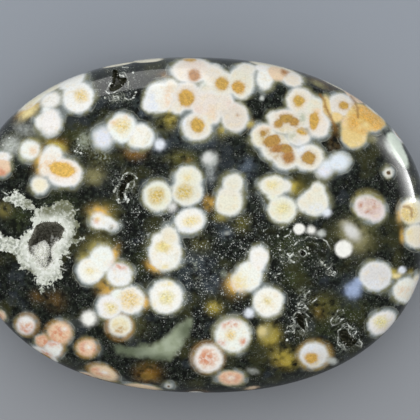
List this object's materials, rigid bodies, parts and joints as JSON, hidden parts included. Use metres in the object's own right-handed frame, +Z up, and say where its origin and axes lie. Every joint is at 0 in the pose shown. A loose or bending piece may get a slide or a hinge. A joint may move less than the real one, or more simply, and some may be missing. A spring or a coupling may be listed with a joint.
{
  "type": "polished ocean jasper palm stone",
  "caption": "Oval polished pebble of orbicular ocean jasper with crystal-lined open vugs, lying on a small flat spot.",
  "frame": {"origin": "middle of the small polished flat spot under the stone, which it rests on", "axes": "+Z up out of the front face with the vugs, +X along the stone's long axis, +Y across it"},
  "size_m": [0.07, 0.0512, 0.0186],
  "materials": {
    "polished_jasper": "polished",
    "vug_quartz": "fine sparkling crystals"
  },
  "bodies": {
    "root": {"jasper_stone": "polished_jasper", "quartz_crust": "vug_quartz"}
  },
  "joints": []
}
